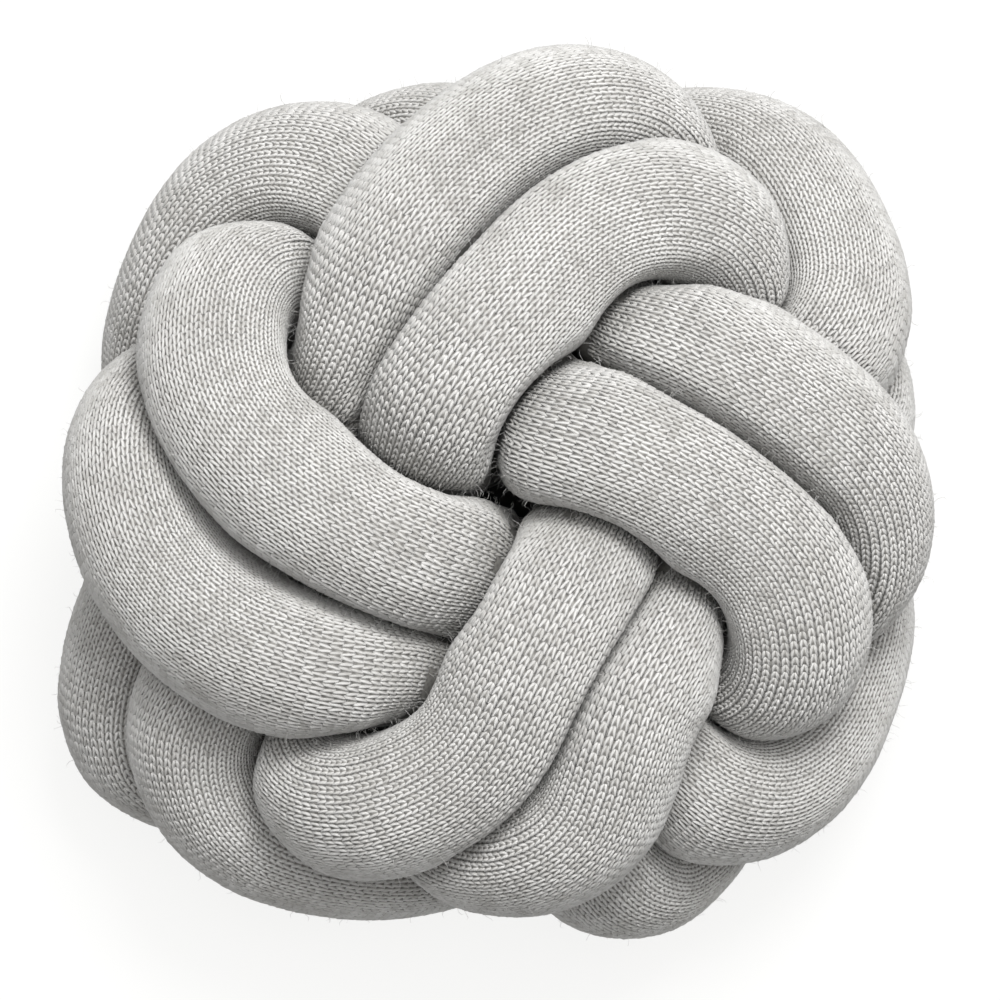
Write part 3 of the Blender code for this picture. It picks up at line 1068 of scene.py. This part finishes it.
def stitch_places(cloth, shown, share, wale_width, course_height):
    """A point for each stitch that shows, so many to a piece, with its ways, size and shade."""
    scale = np.ones((int(shown.sum()), 3))
    scale[:, 0] = np.linalg.norm(cloth.across[shown], axis=1) / wale_width
    scale[:, 1] = np.linalg.norm(cloth.onward[shown], axis=1) / course_height
    scale[:, 2] = np.clip(scale[:, 1], *HEIGHT_KEPT)
    order = np.arange(len(scale))
    marks = bpy.data.meshes.new("stitch_places")
    marks.from_pydata(cloth.surface[shown], [], [])
    store(marks, "part", "INT", order // share + 1)
    store(marks, "cell", "INT", order % share)
    # How much crease shade is painted on each stitch
    store(marks, "crease_shade", "FLOAT", crease_shade_mask(cloth.seen)[shown])
    store(marks, "size", "FLOAT_VECTOR", scale)
    store(marks, "outward", "FLOAT_VECTOR", cloth.outward[shown])
    store(marks, "onward", "FLOAT_VECTOR", cloth.onward[shown])
    return new_object("stitch_places", marks)


def put_on_body(piece):
    """The whole cushion is one body."""
    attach(piece, "root")


class KNOT_OT_tube(bpy.types.Operator):
    """Make the stuffed tube: the inner face of its cloth, in the shape of the knot"""

    bl_idname = "knot_cushion.tube"
    bl_label = "Stuffed tube"

    def execute(self, context):
        cloth = cloth_of(context.scene.knit_sizes)
        rows = len(cloth.surface)
        kept = np.append(np.arange(0, rows - 1, RING_EVERY), rows - 1)
        mesh = tube_mesh("stuffed_tube", cloth.surface[kept])
        seen = mesh_points(cloth.seen[kept])
        sheltered = np.clip(FUZZ_CHANCE - FUZZ_FALLS * seen, *FUZZ_LIMITS)
        clear = (seen > SEEN_ENOUGH / 2) & (mesh_points(cloth.surface[kept])[:, 2] > FUZZ_FROM)
        store(mesh, "fluff", "FLOAT", clear * sheltered)
        # How much crease shade is painted on the inner loops
        store(mesh, "crease_shade", "FLOAT", mesh_points(crease_shade_mask(cloth.seen)[kept]))
        mesh.materials.append(inner_material(context.scene.knit_colours))
        tube = new_object("stuffed_tube", mesh)
        put_on_body(tube)
        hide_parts("knotted_tube")
        return {"FINISHED"}


class KNOT_OT_stitches(bpy.types.Operator):
    """Set a raised stitch on the cloth wherever it can be seen, in a few pieces along the tube"""

    bl_idname = "knot_cushion.stitches"
    bl_label = "Knit stitches"

    def execute(self, context):
        sizes = context.scene.knit_sizes
        cloth = cloth_of(sizes)
        wale_width = 2 * math.pi * TUBE_RADIUS / sizes.wales
        shown = cloth.seen > SEEN_ENOUGH
        count = int(shown.sum())
        pieces = math.ceil(count * STITCH_TRIANGLES / PIECE_TRIANGLES)
        share = math.ceil(count / pieces)
        cells = float(math.ceil(math.sqrt(share)))
        places = stitch_places(cloth, shown, share, wale_width, sizes.course_height)
        stitch = new_object("stitch", stitch_shape("stitch", wale_width, sizes.course_height))
        tree = stitch_tree()
        yarn = yarn_material(context.scene.knit_colours)
        for part in range(1, pieces + 1):
            piece = grown(places, f"knit_stitches_{part}", tree, {
                "Stitch": stitch, "Part": part, "Cells": cells,
                "Unevenness": sizes.unevenness, "Seed": sizes.seed, "Yarn": yarn})
            put_on_body(piece)
        bpy.data.objects.remove(places)
        bpy.data.objects.remove(stitch)
        return {"FINISHED"}


class KNOT_OT_fuzz(bpy.types.Operator):
    """Scatter loose wool fibres over the cloth"""

    bl_idname = "knot_cushion.fuzz"
    bl_label = "Fuzz"

    def execute(self, context):
        sizes = context.scene.knit_sizes
        fibre = new_object("fibre", fibre_shape("fibre"))
        piece = grown(bpy.data.objects["stuffed_tube"], "loose_fibres", fibre_tree(), {
            "Fibre": fibre, "Density": sizes.fuzz_density, "Length": sizes.fuzz_length,
            "Cells": FIBRE_CELLS, "Seed": sizes.seed,
            "Yarn": fibre_material(context.scene.knit_colours)})
        put_on_body(piece)
        bpy.data.objects.remove(fibre)
        return {"FINISHED"}


class KNOT_OT_stage(bpy.types.Operator):
    """Lay the pale floor, set the soft light and aim the camera"""

    bl_idname = "knot_cushion.stage"
    bl_label = "Stage"

    def execute(self, context):
        studio = context.scene.knot_studio
        add_floor(studio)
        add_light(studio)
        add_camera(cloth_of(context.scene.knit_sizes).middle)
        return {"FINISHED"}


def add_floor(studio):
    """A wide floor of white acrylic sheet, lit from below except under the knot: even and matt."""
    corners = [(FLOOR_HALF * x, FLOOR_HALF * y, 0) for x, y in ((-1, -1), (1, -1), (1, 1), (-1, 1))]
    mesh = bpy.data.meshes.new("floor")
    mesh.from_pydata(corners, [], [(0, 1, 2, 3)])
    material = bpy.data.materials.new("acrylic_floor")
    material.use_nodes = True
    shader = material.node_tree.nodes["Principled BSDF"]
    shader.inputs["Base Color"].default_value = (*[FLOOR_RETURN * part for part in studio.floor], 1.0)
    shader.inputs["Roughness"].default_value = 0.9
    shader.inputs["Specular IOR Level"].default_value = 0.1
    shader.inputs["Emission Color"].default_value = (*studio.floor, 1.0)
    tree = material.node_tree
    place = add_node(tree, "ShaderNodeTexCoord")
    reach = add_node(tree, "ShaderNodeVectorMath", {"Vector": place.outputs["Object"]},
                     operation="LENGTH")
    glow = add_node(tree, "ShaderNodeMapRange",
                    {"Value": reach.outputs["Value"], "From Min": GLOW_STARTS,
                     "From Max": GLOW_FULL, "To Max": FLOOR_GLOW})
    tree.links.new(glow.outputs[0], shader.inputs["Emission Strength"])
    mesh.materials.append(material)
    new_object("floor", mesh)


def add_lamp(name, place, across, power):
    """A round soft lamp that faces the knot."""
    light = bpy.data.lights.new(name, "AREA")
    light.shape = "DISK"
    light.size = across
    light.energy = power
    lamp = new_object(name, light)
    lamp.location = place
    lamp.rotation_euler = (-Vector(place)).to_track_quat("-Z", "Y").to_euler()


def add_light(studio):
    """A soft lamp from beyond the view's top, a wide one overhead, and a little light all round."""
    add_lamp("key_light", KEY_PLACE, KEY_ACROSS, studio.key_power)
    add_lamp("overhead_light", OVERHEAD_PLACE, OVERHEAD_ACROSS, studio.overhead_power)
    world = bpy.data.worlds.new("studio")
    world.use_nodes = True
    background = world.node_tree.nodes["Background"]
    background.inputs["Color"].default_value = (1.0, 1.0, 1.0, 1.0)
    background.inputs["Strength"].default_value = studio.fill
    bpy.context.scene.world = world
    bpy.context.scene.view_settings.view_transform = "Standard"


def add_camera(middle):
    """The photograph's view: straight down, beside the hole in the middle of the knot."""
    lens = bpy.data.cameras.new("camera")
    lens.sensor_width = SENSOR
    lens.lens = SENSOR * CAMERA_RISE / FIELD
    lens.clip_end = 20.0
    camera = new_object("camera", lens)
    camera.location = Vector(middle) + Vector((CAMERA_SIDE, 0, CAMERA_RISE))
    bpy.context.scene.camera = camera


class KNOT_PT_panel(bpy.types.Panel):
    """Sizes, colours and steps of the knot cushion"""

    bl_label = "Knot cushion"
    bl_idname = "KNOT_PT_panel"
    bl_space_type = "VIEW_3D"
    bl_region_type = "UI"
    bl_category = "Knot cushion"

    def draw(self, context):
        for group in (context.scene.knit_sizes, context.scene.knit_colours,
                      context.scene.knot_studio):
            for name in group.bl_rna.properties.keys():
                if name not in ("rna_type", "name"):
                    self.layout.prop(group, name)
        for step in OPERATORS:
            self.layout.operator(step.bl_idname)


OPERATORS = (KNOT_OT_tube, KNOT_OT_stitches, KNOT_OT_fuzz, KNOT_OT_stage)
CLASSES = (KnitSizes, KnitColours, StudioValues, *OPERATORS, KNOT_PT_panel)


def register():
    for each in CLASSES:
        bpy.utils.register_class(each)
    bpy.types.Scene.knit_sizes = PointerProperty(type=KnitSizes)
    bpy.types.Scene.knit_colours = PointerProperty(type=KnitColours)
    bpy.types.Scene.knot_studio = PointerProperty(type=StudioValues)


def unregister():
    del bpy.types.Scene.knot_studio
    del bpy.types.Scene.knit_colours
    del bpy.types.Scene.knit_sizes
    for each in reversed(CLASSES):
        bpy.utils.unregister_class(each)


def main():
    register()
    bpy.ops.knot_cushion.tube()
    bpy.ops.knot_cushion.stitches()
    bpy.ops.knot_cushion.fuzz()
    bpy.ops.knot_cushion.stage()


if __name__ == "__main__":
    main()
